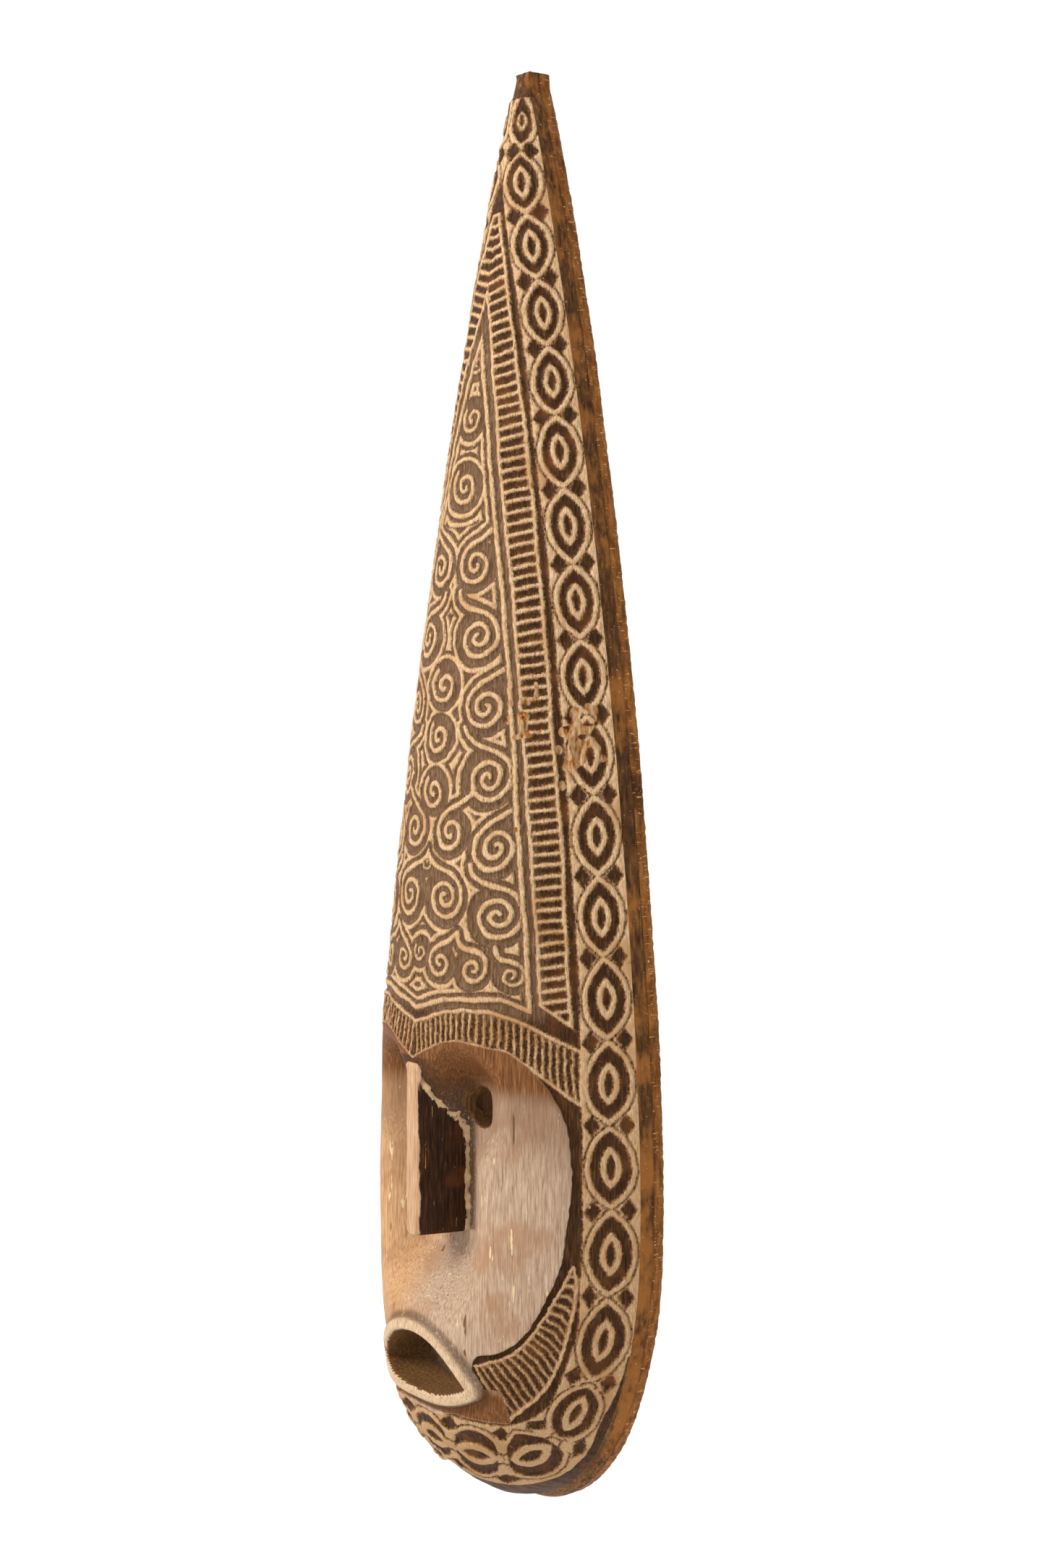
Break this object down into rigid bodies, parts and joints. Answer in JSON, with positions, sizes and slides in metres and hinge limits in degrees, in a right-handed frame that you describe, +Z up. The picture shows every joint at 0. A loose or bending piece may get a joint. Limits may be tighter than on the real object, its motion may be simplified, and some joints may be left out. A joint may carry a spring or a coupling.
{
  "type": "carved wooden wall mask",
  "caption": "Tall pointed wooden face mask, convex and hollow behind, with a slab nose, round eye holes, an open mouth and a wall hanger.",
  "frame": {"origin": "the point of the wall that the hook comes out of, on the mask's centre line, level with the inside of the raised hanger ring", "axes": "+Z up, +X to the right of someone facing the mask, -Y out of the wall through the face; the back plane is Y = 0"},
  "size_m": [0.264, 0.113, 0.9898],
  "materials": {
    "stained_wood": "dark stain, cut through to pale wood in the carving, satin",
    "dark_wood": "near-black stain, worn at the edges",
    "dowel_wood": "raw, unstained",
    "pale_wood": "rasped, orange-brown, matt",
    "zinc_steel": "zinc plated",
    "ring_steel": "drawn wire, plain"
  },
  "bodies": {
    "mask": {"mask_shell": "stained_wood", "nose": "dark_wood", "nose_peg_upper": "dowel_wood", "nose_peg_lower": "dowel_wood", "back_rim_right": "pale_wood", "back_rim_left": "pale_wood", "hanger_strap": "zinc_steel", "hanger_screw_upper": "zinc_steel", "hanger_screw_lower": "zinc_steel"},
    "ring": {"hanger_ring": "ring_steel"}
  },
  "joints": [
    {"name": "ring_swing", "type": "hinge", "parent": "mask", "child": "ring", "pos_m": [0, -0.0061, -0.0208], "axis": [1, 0, 0], "range_deg": [0, 175]}
  ]
}
